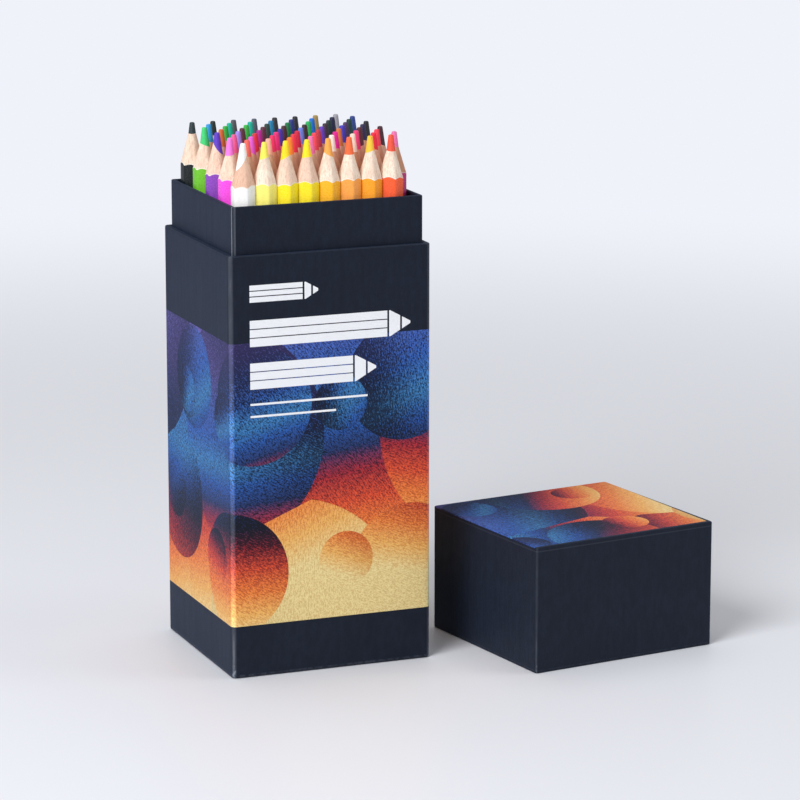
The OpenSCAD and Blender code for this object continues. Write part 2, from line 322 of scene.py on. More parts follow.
class Tree:
    """Adds nodes to a tree: each one's settings first, then its values and links."""

    def __init__(self, tree):
        self.tree = tree

    def node(self, kind, *placed, **named):
        """Adds a node of a kind, with its settings by name and its sockets by place or name.

        Settings have names in small letters. In a socket's name an underscore stands for a space.
        """
        made = self.tree.nodes.new(kind)
        for name in filter(str.islower, named):
            setattr(made, name, named[name])
        for socket, value in zip(made.inputs, placed):
            self.feed(socket, value)
        for name, value in named.items():
            if not name.islower():
                self.feed(self.find(made.inputs, name.replace("_", " ")), value)
        return made

    def feed(self, socket, value):
        """Sets an input, or links it to a number, a socket or a node's first output."""
        if isinstance(value, Value):
            value = value.socket
        if isinstance(value, bpy.types.Node):
            value = value.outputs[0]
        if isinstance(value, bpy.types.NodeSocket):
            self.tree.links.new(value, socket)
        elif socket.type == "RGBA" and len(value) == 3:
            socket.default_value = (*value, 1)
        else:
            socket.default_value = value

    @staticmethod
    def find(sockets, name):
        """The first socket of that name that the node's settings leave in use."""
        for socket in sockets:
            if socket.enabled and socket.name == name:
                return socket
        raise KeyError(name)

    def out(self, node, name):
        """A node's output as a number."""
        return Value(self, self.find(node.outputs, name))

    def math(self, operation, *terms):
        return Value(self, self.node("ShaderNodeMath", *terms, operation=operation).outputs[0])

    def off(self, value, middle):
        """How far a number is from another."""
        return self.math("ABSOLUTE", value - middle)

    def vector(self, operation, *terms, **named):
        node = self.node("ShaderNodeVectorMath", *terms, operation=operation, **named)
        return node.outputs[0]

    def scaled(self, vector, factor):
        """A vector times a number."""
        return self.vector("SCALE", vector, Scale=factor)

    def squashed(self, vector, along):
        """A place whose height is scaled, so that noise on it is stretched upright."""
        return self.vector("MULTIPLY", vector, (1, 1, along))

    def dot(self, one, other):
        node = self.node("ShaderNodeVectorMath", one, other, operation="DOT_PRODUCT")
        return Value(self, node.outputs["Value"])

    def parts(self, vector):
        """The three numbers of a vector."""
        node = self.node("ShaderNodeSeparateXYZ", vector)
        return [Value(self, socket) for socket in node.outputs]

    def joined(self, x=0.0, y=0.0, z=0.0):
        """A vector from three numbers."""
        return self.node("ShaderNodeCombineXYZ", x, y, z).outputs[0]

    def toward(self, angle):
        """A level vector of length 1 at an angle."""
        return self.joined(self.math("COSINE", angle), self.math("SINE", angle))

    def between(self, factor, start, end):
        """A number that goes from start to end as factor goes from 0 to 1."""
        node = self.node(
            "ShaderNodeMix", data_type="FLOAT", clamp_factor=False, Factor=factor, A=start, B=end
        )
        return self.out(node, "Result")

    def blend(self, factor, start, end, way="MIX"):
        """A colour that goes from start to end as factor goes from 0 to 1."""
        node = self.node(
            "ShaderNodeMix", data_type="RGBA", blend_type=way, Factor=factor, A=start, B=end
        )
        return self.find(node.outputs, "Result")

    def ease(self, value, low, high):
        """0 below low, 1 above high, and a smooth rise between them."""
        node = self.node("ShaderNodeMapRange", value, low, high, interpolation_type="SMOOTHSTEP")
        return self.out(node, "Result")

    def over(self, under, paint, value, low, high, most):
        """A colour with another laid over it: none where value is low, most where it is high."""
        return self.blend(self.ease(value, low, high) * most, under, paint)

    def ramp(self, value, stops):
        """A colour that goes through stops, each a position and a colour code."""
        node = self.node("ShaderNodeValToRGB", value)
        elements = node.color_ramp.elements
        while len(elements) < len(stops):
            elements.new(0.5)
        for element, (position, code) in zip(elements, stops):
            element.position = position
            element.color = (*linear(code), 1)
        return node.outputs[0]

    def noise(self, vector, scale=1.0, detail=2.0, rough=0.5):
        node = self.node(
            "ShaderNodeTexNoise", Vector=vector, Scale=scale, Detail=detail, Roughness=rough
        )
        return Value(self, node.outputs[0])

    def attribute(self, name, output="Fac"):
        """One of the mesh's own attributes, as a number or as its colour."""
        return self.out(self.node("ShaderNodeAttribute", attribute_name=name), output)

    def place(self):
        """Object coordinates in millimetres."""
        return self.scaled(self.node("ShaderNodeTexCoord").outputs["Object"], 1 / MM)

    def unrolled(self):
        """A sheet's own unrolled map in millimetres."""
        return self.scaled(self.node("ShaderNodeUVMap", uv_map="unrolled"), 1 / MM)

    def bump(self, height, distance, strength=1.0):
        """A normal from heights of 0 to 1, which stand for up to distance in metres."""
        return self.node("ShaderNodeBump", Strength=strength, Distance=distance, Height=height)

    def surface(self, **inputs):
        """Ends a material in one Principled shader."""
        shader = self.node("ShaderNodeBsdfPrincipled", **inputs)
        self.node("ShaderNodeOutputMaterial", shader)


def material(name):
    """A new material and the tree of its shader."""
    made = bpy.data.materials.new(name)
    made.use_nodes = True
    made.node_tree.nodes.clear()
    return made, Tree(made.node_tree)


# ---- Finishes ----


def lacquer_finish():
    """Glossy lacquer in each pencil's own colour, over barely uneven wood."""
    made, tree = material("pencil_lacquer")
    place = tree.place()
    ripple = tree.noise(tree.squashed(place, 0.06), 0.9, 2)
    speck = tree.noise(place, 2.2, 3)
    shade = tree.attribute("barrel_colour", "Color")
    shade = tree.over(shade, BLACK, ripple, 0.35, 0.75, 0.06)
    shade = tree.over(shade, WHITE, speck, 0.62, 0.8, 0.03)
    tree.surface(
        Base_Color=shade,
        Roughness=0.24 + tree.ease(speck, 0.3, 0.8) * 0.12,
        Coat_Weight=0.16,
        Coat_Roughness=0.12,
        Normal=tree.bump(ripple, 0.06 * MM),
    )
    return made


def lengthwise(tree, squash, shift, *noise):
    """Noise that is stretched along a pencil and differs from one pencil to the next."""
    x, y, z = tree.parts(tree.place())
    return tree.noise(tree.joined(x, y, z * squash + tree.attribute("seed") * shift), *noise)


def wood_finish(looks):
    """Cut pale wood, streaked along the pencil, with the lacquer's white undercoat at its edge."""
    made, tree = material("pencil_wood")
    # tan darkens the wood: real tan, and painted shade on the pencils behind the front row
    tan_and_shade = tree.attribute("tan")
    streak = lengthwise(tree, 0.035, 40, 2.3, 4, 0.72)
    band = lengthwise(tree, 0.03, 11, 0.62, 2)
    pore = lengthwise(tree, 0.16, 17, 7.0, 2)
    height = tree.parts(tree.place())[2]
    cutter = tree.noise(tree.joined(tree.attribute("seed") * 31, 0.0, height), 5.5, 1)
    tan_grain, pore_shade, undercoat = (linear(c) for c in ("#b9744e", "#a8705a", "#fbf6ec"))
    grain = tree.blend(tan_and_shade * 0.6, looks.wood_grain, tan_grain)
    shade = tree.blend(tan_and_shade, looks.wood, looks.wood_tan_and_shade)
    shade = tree.over(shade, grain, streak, 0.43, 0.68, 0.7)
    shade = tree.over(shade, grain, band, 0.46, 0.66, 0.3)
    shade = tree.over(shade, pore_shade, pore, 0.6, 0.76, 0.35)
    shade = tree.over(shade, undercoat, tree.attribute("scallop"), 0.962, 0.98, 0.55)
    tree.surface(
        Base_Color=shade,
        Roughness=0.62 + pore * 0.2,
        Specular_IOR_Level=0.25,
        Normal=tree.bump(streak * 0.6 + pore * 0.25 + cutter * 0.3, 0.12 * MM, 0.8),
    )
    return made


def core_finish():
    """Waxy colour of the core, with small facets from the cutter and darker streaks."""
    made, tree = material("pencil_core")
    streak = lengthwise(tree, 0.3, 23, 2.6, 3, 0.6)
    grain = tree.noise(tree.place(), 9, 2)
    shade = tree.attribute("core_colour", "Color")
    shade = tree.over(shade, BLACK, streak, 0.5, 0.8, 0.2)
    shade = tree.over(shade, WHITE, grain, 0.58, 0.8, 0.12)
    tree.surface(
        Base_Color=shade,
        Roughness=0.42 + grain * 0.2,
        Specular_IOR_Level=0.4,
        Normal=tree.bump(streak * 0.7 + grain * 0.3, 0.12 * MM, 0.7),
    )
    return made


def rubbed_and_highlit(tree, place, tooth, crease_at, use):
    """How pale folds and corners are: a band and thin lines of wear with a painted highlight,
    a painted highlight low on a corner and along the foot, and scuffs near the table.

    crease_at has the heights of creases in millimetres. use is the share of the wear and the
    painted highlights that is laid on, from 0 to 1.
    """
    wear_and_highlight = tree.attribute("wear_and_highlight")
    x, y, z = tree.parts(place)
    patchy = tree.noise(tree.joined(x, y, z * 0.3), 0.55, 4, 0.7)
    fine = tree.noise(place, 1.1, 4, 0.7)
    low = 1 - tree.ease(z, 1.5, 9.0)
    # band and line are wear with a painted highlight of the round folds and corners; lowest and foot
    # are painted highlights; scuff is wear
    band = tree.ease(wear_and_highlight, 0.62, 1.0) * (0.04 + patchy * 0.09)
    line = tree.ease(wear_and_highlight + patchy * 0.5, 1.22, 1.38) * 0.04
    scuff = tree.ease(wear_and_highlight * 0.66 + low * 0.26 + fine * 0.8 + tooth * 0.25, 1.34, 1.48) * 0.42
    lowest = (1 - tree.ease(z, 9.0, 18.0)) * tree.ease(wear_and_highlight + patchy * 0.12, 0.98, 1.07) * 0.13
    foot = tree.ease(z, 0.3, 0.7) * (1 - tree.ease(z, 0.9, 1.3)) * tree.ease(patchy, 0.38, 0.6) * 0.06
    pale = tree.math("MAXIMUM", band + line + lowest, tree.math("MAXIMUM", scuff, foot)) * use
    for height in crease_at:
        pale = pale + (1 - tree.ease(tree.off(z, height), 0.1, 0.3)) * 0.03
    return pale


def crease_highlights(tree, tooth):
    """Painted highlights on two thin creases up a corner that was scored, the left one brighter."""
    along = tree.parts(tree.unrolled())[0]
    pale = 0.0
    for middle, width, strength in ((-0.62, 0.16, 0.3), (0.62, 0.22, 0.1)):
        line = 1 - tree.ease(tree.off(along, middle), width, width + 0.16)
        pale = line * (0.45 + tooth * 1.1) * strength + pale
    return pale


def paper_finish(looks, name, ink=None, crease_at=(), scored=False, use=1.0):
    """Matte black paper, with the wear and painted highlights that crease_at, scored and use tell of.

    ink(tree, place, tooth) gives the print's colour, where it lies, and how thick it is there.
    """
    made, tree = material(name)
    place = tree.place()
    tooth = tree.noise(place, 2.6, 3, 0.65)
    fibre = tree.noise(tree.squashed(place, 0.07), 1.5, 3, 0.6)
    streak = tree.noise(tree.squashed(place, 0.02), 0.42, 2, 0.6)
    blotch = tree.noise(tree.squashed(place, 0.45), 0.42, 5, 0.72)
    slow = tree.noise(place, 0.06, 2)
    shade = looks.black
    for pattern, low, high, most, tint in (
        (tooth, 0.35, 0.75, 0.28, 1.7),
        (blotch, 0.4, 0.62, 0.5, 1.7),
        (fibre, 0.45, 0.75, 0.13, 2.0),
        (streak, 0.42, 0.68, 0.12, 0.62),
        (slow, 0.3, 0.7, 0.25, 0.75),
    ):
        shade = tree.over(shade, tinted(looks.black, tint), pattern, low, high, most)
    rough = 0.5 + tooth * 0.12 + streak * 0.1
    if ink:
        printed, where, thick = ink(tree, place, tooth)
        # The print is brighter along its folds: a painted highlight, with some rubbing
        fold_highlight = tree.ease(tree.attribute("wear_and_highlight"), 0.6, 0.95)
        printed = tree.blend(fold_highlight, printed, tinted(WHITE, 0.4), "DODGE")
        shade = tree.blend(where, shade, printed)
        rough = rough + where * 0.04
        tooth = tooth * 0.75 + where * thick * 0.5
    # Pale wear and painted highlights along the folds and corners
    worn_and_highlit = rubbed_and_highlit(tree, place, tooth, crease_at, use)
    if scored:
        worn_and_highlit = worn_and_highlit * 0.4 + crease_highlights(tree, tooth)
    tree.surface(
        Base_Color=tree.blend(worn_and_highlit, shade, looks.worn_and_highlit),
        Roughness=rough + worn_and_highlit * 0.15,
        Specular_IOR_Level=0.16,
        Sheen_Weight=0.1,
        Sheen_Roughness=0.45,
        Sheen_Tint=(0.35, 0.5, 1.0, 1.0),
        Normal=tree.bump(tooth + slow * 0.8 + fibre * 0.4 + streak * 0.3, 0.09 * MM, 0.9),
    )
    return made


def disc_layer(tree, flat, cell, radius, shift):
    """Scattered discs: where they lie, each one's hue and lean, and how far to its dark side."""
    moved = tree.scaled(tree.vector("ADD", flat, (*shift, 0)), 1 / cell)
    cells = tree.node(
        "ShaderNodeTexVoronoi",
        voronoi_dimensions="2D",
        feature="F1",
        Vector=moved,
        Scale=1.0,
        Randomness=0.45,
    )
    hue, lean, size = tree.parts(cells.outputs["Color"])
    reach = (0.68 + size * 0.32) * (radius / cell)
    inside = tree.out(cells, "Distance") < reach
    from_middle = tree.vector("SUBTRACT", moved, cells.outputs["Position"])
    side = tree.dot(from_middle, tree.toward(lean * (2 * pi))) / reach
    return inside, hue, lean, side


def hatched_discs(tree, flat, warmth, stroke, tooth):
    """Colour of overlapping discs, each with strokes of its own slant, and where those lie."""
    hue, lean, side = 0.5, 0.3, -0.3
    for layer in DISC_LAYERS:
        inside, *disc = disc_layer(tree, flat, *layer)
        hue, lean, side = (tree.between(inside, *pair) for pair in zip((hue, lean, side), disc))
    slant = lean * 2.2 + 0.2
    turned = tree.node("ShaderNodeVectorRotate", rotation_type="Z_AXIS", Vector=flat, Angle=slant)
    strokes = tree.noise(tree.vector("MULTIPLY", turned, (0.5, 1 / stroke, 1)), 1, 3, 0.65)
    grain = tree.noise(tree.vector("MULTIPLY", turned, (1.2, 1 / stroke, 1)), 1.1, 2)
    tone = warmth + (hue - 0.5) * 0.3 - side * 0.07 + (strokes - 0.5) * 0.1
    ground = tree.ramp(tone, [(position, code) for position, code, _ in PRINT_COLOURS])
    crayon = tree.ramp(tone, [(position, code) for position, _, code in PRINT_COLOURS])
    dark = tree.ease(side, -0.45, 0.95) * tree.between(tree.ease(tone, 0.5, 0.72), 1.0, 0.25)
    pressed = strokes * 0.5 + grain * 0.5 + (tooth - 0.5) * 0.45 - dark * 0.15
    laid = tree.ease(pressed, 0.36, 0.6)
    shade = tree.blend(laid, ground, crayon)
    return tree.blend(dark * 0.42, shade, linear("#12141f")), laid


def printed_pencil(tree, x, y, right, middle, height):
    """Where a pencil lying on its side is printed, with gaps at its collar and its core."""
    taper = 0.9 * height
    half_point, half_gap, half_line = 0.4, 0.32, 0.16
    tall = tree.math("MINIMUM", height / 2, (right - x) * (height / 2 / taper) + half_point)
    shape = (tree.off(y, middle) < tall) * (x > WHITE_LEFT) * (x < right)
    for gap in (right - taper, right - 0.42 * taper):
        shape = shape * (tree.off(x, gap) > half_gap)
    for edge in (middle - height / 6, middle + height / 6):
        shape = shape * (1 - (tree.off(y, edge) < half_line) * (x < right - taper))
    return shape


def body_ink(looks):
    """The body's print: a band of hatched discs round it, and white pencils on its front."""
    girth, warmest, half_rule = 272, 66, 0.35
    bottom, top = looks.bottom / MM, looks.top / MM

    def ink(tree, place, tooth):
        flat = tree.unrolled()
        along, up, _ = tree.parts(flat)
        swing = tree.math("COSINE", (along - warmest) * (2 * pi / girth))
        warmth = 1.0 - (up - bottom) / (top - bottom) * 0.98 + swing * 0.1
        shade, laid = hatched_discs(tree, flat, warmth, looks.stroke / MM, tooth)
        white = 0.0
        for pencil in WHITE_PENCILS:
            white = printed_pencil(tree, along, up, *pencil) + white
        for right, middle in WHITE_RULES:
            rule = (tree.off(up, middle) < half_rule) * (along > WHITE_LEFT) * (along < right)
            white = rule + white
        band = (up > bottom) * (up < top)
        return tree.blend(white, shade, looks.white), tree.math("MAXIMUM", band, white), laid

    return ink


def lid_ink(looks, width, depth, top):
    """The lid's print: hatched discs on its top, inside a narrow black margin."""
    half_w, half_d, margin = width / 2 / MM, depth / 2 / MM, looks.lid_margin / MM
    elsewhere = (118, 64, 0)

    def ink(tree, place, tooth):
        flat = tree.unrolled()
        x, y, _ = tree.parts(flat)
        warmth = 0.5 + x * (0.41 / half_w) - y * (0.1 / half_d)
        moved = tree.vector("ADD", flat, elsewhere)
        shade, laid = hatched_discs(tree, moved, warmth, looks.stroke / MM, tooth)
        # The sheet lies a little askew, so the black margins aren't even
        across = (half_w - x) > (half_d - y) * (margin / half_d * 0.6) + 0.1
        back = (y + half_d) > (x + half_w) * (margin / half_w * 0.2) + margin
        high = tree.parts(place)[2] > (top / MM - 0.4)
        return shade, across * back * high, laid

    return ink


def board_finish(looks):
    """Grey pulp board with short fibres and dark flecks."""
    made, tree = material("greyboard")
    place = tree.place()
    fibre = tree.noise(tree.vector("MULTIPLY", place, (0.5, 2.6, 0.5)), 1.4, 4, 0.65)
    fleck = tree.noise(place, 2.4, 3)
    shade = tree.over(looks.board, tinted(looks.board, 0.62), fibre, 0.35, 0.7, 0.6)
    shade = tree.over(shade, tinted(looks.board, 0.35), fleck, 0.62, 0.72, 0.5)
    tree.surface(
        Base_Color=shade,
        Roughness=0.8 + fibre * 0.15,
        Specular_IOR_Level=0.25,
        Normal=tree.bump(fibre + fleck * 0.4, 0.1 * MM),
    )
    return made


def tape_finish(looks):
    """Buff paper tape, creped across."""
    made, tree = material("stay_tape")
    crepe = tree.noise(tree.vector("MULTIPLY", tree.place(), (0.8, 0.8, 4.5)), 1, 3)
    tree.surface(
        Base_Color=tree.over(looks.tape, tinted(looks.tape, 0.7), crepe, 0.4, 0.7, 0.5),
        Roughness=0.66 + crepe * 0.2,
        Normal=tree.bump(crepe, 0.08 * MM),
    )
    return made


# ---- Paper wraps ----


def fold(inset, height, radius, start, end, worn_and_highlit=0.74):
    """Rows of a wrap's section round a fold, from one angle to another, in degrees."""
    rows = []
    for i in range(FOLD_STEPS + 1):
        angle = radians(start + (end - start) * i / FOLD_STEPS)
        wear_and_highlight = worn_and_highlit if 0 < i < FOLD_STEPS else worn_and_highlit * 0.55
        rows.append((inset + radius * cos(angle), height + radius * sin(angle), wear_and_highlight))
    return rows


def upright(inset, start, end, spacing=12 * MM):
    """Plain rows of a wrap's section up or down a wall."""
    count = max(1, round(abs(end - start) / spacing))
    return [(inset, start + (end - start) * i / count, 0.0) for i in range(count + 1)]


def plain(*places):
    """Single rows of a wrap's section without wear, each an inset and a height."""
    return [(*place, 0.0) for place in places]


def over_rim(high, r, skin, wall, turn_in, spacing=12 * MM):
    """Rows of a wrap's section from a tray's wall over its rim, down inside, and back beneath."""
    rows = fold(r, high - r, r, 180, 90) + fold(wall - r, high - r, r, 90, 0)
    rows += upright(wall, high - r - RUN_IN, high - turn_in, spacing)
    return rows + plain((wall - skin, high - turn_in), (wall - skin, high - skin), (skin, high - skin))


class Columns:
    """The upright lines of a wrap round a rectangle with round corners."""

    CORNERS = ((-1, -1, 180), (1, -1, 270), (1, 1, 0), (-1, 1, 90))
    CORNER_STEPS = 6
    SPACING = 11 * MM

    def __init__(self, width, depth, radius):
        self.width = width
        self.depth = depth
        self.radius = radius
        self.list = []
        for side in range(4):
            span = (depth if side % 2 == 0 else width) - 2 * radius
            count = round(span / self.SPACING)
            shares = [0.0, RUN_IN / span]
            shares += [i / count for i in range(1, count)]
            shares += [1 - RUN_IN / span]
            self.list += [("wall", side, share, 0.0 if share else 0.5) for share in shares]
            for i in range(self.CORNER_STEPS + 1):
                share = i / self.CORNER_STEPS
                # Up a corner the wear peaks at the middle, so its pale band is a painted highlight of
                # the round corner as well as wear
                self.list.append(("corner", side, share, 0.5 + 0.5 * sin(pi * share)))
        places = [self.point(column, 0) for column in self.list]
        self.along = [0.0]
        for one, other in zip(places, places[1:] + places[:1]):
            self.along.append(self.along[-1] + (other - one).length)
        near = [i for i, column in enumerate(self.list) if column[:2] == ("corner", 0)]
        zero = self.along[near[len(near) // 2]]
        self.along = [a - zero for a in self.along]

    def point(self, column, inset):
        """Where a column stands when the outline is drawn in by inset."""
        kind, side, share, _ = column
        radius = max(self.radius - inset, 0.02 * MM)
        half_w = self.width / 2 - inset - radius
        half_d = self.depth / 2 - inset - radius

        def on_corner(corner, turn):
            x, y, start = self.CORNERS[corner]
            angle = radians(start + turn)
            middle = Vector((x * half_w, y * half_d))
            return middle + radius * Vector((cos(angle), sin(angle)))

        if kind == "corner":
            return on_corner(side, 90 * share)
        return on_corner(side - 1, 90).lerp(on_corner(side, 0), share)


def wrap_mesh(name, columns, section, closed=True, flat_from=None):
    """A sheet of paper round a tray, from its section: rows of inset, height, and wear with painted
    highlight.

    An open section has its two ends capped. Above flat_from the unrolled map is the plan.
    """
    work = bmesh.new()
    wear_and_highlight = work.verts.layers.float.new("wear_and_highlight")
    unrolled = work.loops.layers.uv.new("unrolled")
    grid = []
    for inset, height, row_wear_and_highlight in section:
        row = []
        for column in columns.list:
            vertex = work.verts.new((*columns.point(column, inset), height))
            vertex[wear_and_highlight] = max(row_wear_and_highlight, column[3])
            row.append(vertex)
        grid.append(row)
    count = len(columns.list)

    def mapped(row, column):
        height = section[row][1]
        if flat_from is not None and height > flat_from:
            return grid[row][column % count].co.xy
        return Vector((columns.along[column], height))

    for row in range(len(section) if closed else len(section) - 1):
        above = (row + 1) % len(section)
        for column in range(count):
            corners = [(row, column), (row, column + 1), (above, column + 1), (above, column)]
            face = work.faces.new([grid[r][c % count] for r, c in corners])
            for loop, corner in zip(face.loops, corners):
                loop[unrolled].uv = mapped(*corner)
    if not closed:
        for row in (grid[0], grid[-1]):
            for loop in work.faces.new(row).loops:
                loop[unrolled].uv = loop.vert.co.xy
    bmesh.ops.remove_doubles(work, verts=work.verts, dist=0.001 * MM)
    bmesh.ops.recalc_face_normals(work, faces=work.faces)
    mesh = bpy.data.meshes.new(name)
    work.to_mesh(mesh)
    work.free()
    mesh.shade_smooth()
    mesh.set_sharp_from_angle(angle=radians(38))
    return mesh


def add_piece(name, mesh, looks, body, node, place=None):
    """Links a mesh as a piece that rides on a body and stands for one node."""
    if place is not None:
        mesh.transform(place)
    piece = bpy.data.objects.new(name, mesh)
    bpy.context.scene.collection.objects.link(piece)
    for finish in looks:
        mesh.materials.append(finish)
    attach(piece, body)
    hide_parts(node)
    return piece


def tray_plan():
    """Width and depth of the body, which the lid shares."""
    return BODY_HIGH.x - BODY_LOW.x, BODY_HIGH.y - BODY_LOW.y


class PENCILBOX_OT_body_wrap(Operator):
    """Make the body's printed paper, turned in over its rim and under its base"""

    bl_idname = "pencil_box.body_wrap"
    bl_label = "Body wrap"

    def execute(self, context):
        looks = context.scene.pencil_box
        box = looks.box
        low, high, r, skin = BODY_LOW.z, BODY_HIGH.z, box.fold_round, box.skin
        section = plain((box.base_turn, low), (r + RUN_IN, low))
        section += fold(r, low + r, r, 270, 180)
        section += upright(0.0, low + r + RUN_IN, high - r - RUN_IN)
        section += over_rim(high, r, skin, box.wall, box.turn_in, 6 * MM)
        section += plain((skin, low + skin), (box.base_turn, low + skin))
        mesh = wrap_mesh("body_paper", Columns(*tray_plan(), box.body_round), section)
        finish = paper_finish(box, "printed_paper_body", body_ink(looks.print))
        add_piece("body_paper", mesh, [finish], "box", "body_wrap")
        return {"FINISHED"}


class PENCILBOX_OT_neck_wrap(Operator):
    """Make the neck's black paper, turned in over its rim"""

    bl_idname = "pencil_box.neck_wrap"
    bl_label = "Neck wrap"

    def execute(self, context):
        box = context.scene.pencil_box.box
        low, high, r, skin = NECK_LOW.z, NECK_HIGH.z, 0.8 * box.fold_round, box.skin
        section = upright(0.0, low, high - r - RUN_IN)
        section += over_rim(high, r, skin, box.neck_wall, box.neck_turn_in)
        section += plain((skin, low))
        size = NECK_HIGH - NECK_LOW
        mesh = wrap_mesh("neck_paper", Columns(size.x, size.y, box.neck_round), section)
        # The neck's scored corner gets painted highlights on its two creases
        finish = paper_finish(box, "black_paper_neck", scored=True)
        add_piece("neck_paper", mesh, [finish], "box", "neck_wrap")
        return {"FINISHED"}


class PENCILBOX_OT_lid_wrap(Operator):
    """Make the lid's paper: black sides, a printed top, and a turned-in rim"""

    bl_idname = "pencil_box.lid_wrap"
    bl_label = "Lid wrap"

    def execute(self, context):
        looks = context.scene.pencil_box
        box = looks.box
        top, r, skin = LID_HIGH.z, box.fold_round, box.skin
        inmost = 26 * MM
        rings = (inmost, 14 * MM, 6 * MM, 2.6 * MM, r + 0.7 * MM)
        section = plain(*((inset, top) for inset in rings))
        section += fold(r, top - r, r, 90, 180, worn_and_highlit=0.62)
        section += upright(0.0, top - r - RUN_IN, r + RUN_IN)
        rim = over_rim(0.0, r, skin, box.wall, box.turn_in, 6 * MM)
        section += [(inset, -height, worn_and_highlit) for inset, height, worn_and_highlit in rim]
        section += plain((skin, top - skin), (inmost, top - skin))
        width, depth = tray_plan()
        columns = Columns(width, depth, box.lid_round)
        mesh = wrap_mesh("lid_paper", columns, section, closed=False, flat_from=top - r - 0.1 * MM)
        middle = (LID_LOW + LID_HIGH) / 2
        place = Matrix.Translation((middle.x, middle.y, 0)) @ Matrix.Rotation(box.lid_turn, 4, "Z")
        ink = lid_ink(looks.print, width, depth, top)
        crease_at = [top / MM - 1.4]
        # The lid gets less of the wear and the painted highlights
        finish = paper_finish(box, "printed_paper_lid", ink, crease_at, use=0.35)
        add_piece("lid_paper", mesh, [finish], "lid", "lid_wrap", place)
        return {"FINISHED"}


class PENCILBOX_OT_inner_layers(Operator):
    """Finish the board, the tape and the black sheets that keep their own shape"""

    bl_idname = "pencil_box.inner_layers"
    bl_label = "Board, tape and sheets"

    def execute(self, context):
        box = context.scene.pencil_box.box
        for finish, nodes in (
            (board_finish(box), ("body_board", "neck_board", "lid_board")),
            (tape_finish(box), ("body_corner_stays", "lid_corner_stays")),
            (paper_finish(box, "black_paper_sheets"), ("base_cover", "base_liner")),
        ):
            for node in nodes:
                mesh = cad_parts[node].data
                mesh.materials.clear()
                mesh.materials.append(finish)
        return {"FINISHED"}


# ---- Pencils ----


def hexagon(tree, u, half_flats, rounding):
    """Radius and direction of a hexagon with round edges, once round it as u goes up by 1."""
    step = tree.math("ROUND", (u + 0.5) * (6 * SIDE_STEPS))
    sector = tree.math("FLOOR", step / SIDE_STEPS)
    step = step - sector * SIDE_STEPS
    seat = (half_flats - rounding) / cos(pi / 6)
    flat_end = tree.math("ARCTANGENT", seat * 0.5 / half_flats)
    on_flat = step < FLAT_STEPS + 0.5
    edge_turn = flat_end + (step - FLAT_STEPS) * ((pi / 3 - flat_end * 2) / EDGE_STEPS)
    turn = tree.between(on_flat, edge_turn, flat_end * (step / (FLAT_STEPS / 2) - 1))
    flat_radius = half_flats / tree.math("COSINE", turn)
    off_edge = turn - pi / 6
    across = seat * tree.math("SINE", off_edge)
    reach = tree.math("SQRT", tree.math("MAXIMUM", rounding * rounding - across * across, 0))
    edge_radius = seat * tree.math("COSINE", off_edge) + reach
    outward = tree.toward(turn + sector * (pi / 3))
    return tree.between(on_flat, edge_radius, flat_radius), outward


def point_slope(given):
    """How much wider the bare core grows for each metre down from its point."""
    return (given("Core radius") + RIM - given("Point radius")) / given("Point length")


def pencil_strips(given, barrel, v):
    """A pencil's skin as strips, from the middle of its flat end to the middle of its point.

    Each has its rings, its start and end (each a radius and a height), its zone, and how much the
    lean of the cut and that of the core move it. v goes from a strip's start to its end.
    """
    total, core, tip = given("Length"), given("Core radius"), given("Point rounding")
    half_flats, collar = given("Across flats") / 2, given("Length") - given("Point length")
    meets = half_flats + (barrel - half_flats) * given("Scallops")
    scallop = collar - (meets - (core + 0.11 * MM)) / given("Slope")
    tip_radius = given("Point radius") + tip * point_slope(given)
    broken = 0.12 * MM
    strips = [
        (1, (0, 0), (core, 0), CORE, 0, 0),
        (2, (core, 0), (barrel - broken, 0), WOOD, 0, 0),
        (1, (barrel - broken, 0), (barrel, broken), LACQUER, 0, 0),
        (3, (barrel, broken), (barrel, scallop), LACQUER, v > 0.99, 0),
        (6, (barrel, scallop), (core + RIM, collar), WOOD, 1 - v, v),
        (5, (core + RIM, collar), (tip_radius, total - tip), CORE, 0, 1 - v),
    ]
    edge = [(tip_radius, total - tip)]
    for bend in (radians(30), radians(60), radians(90)):
        along = tip_radius - tip + tip * cos(bend)
        edge.append((along, total - tip * (1 - sin(bend))))
    edge.append((0, total))
    return strips + [(1, one, other, CORE, 0, 0) for one, other in zip(edge, edge[1:])]


def stored(tree, geometry, name, value, kind="FLOAT", domain="POINT"):
    """Keeps a value on a geometry as a named attribute."""
    return tree.node(
        "GeometryNodeStoreNamedAttribute",
        data_type=kind,
        domain=domain,
        Geometry=geometry,
        Name=name,
        Value=value,
    )


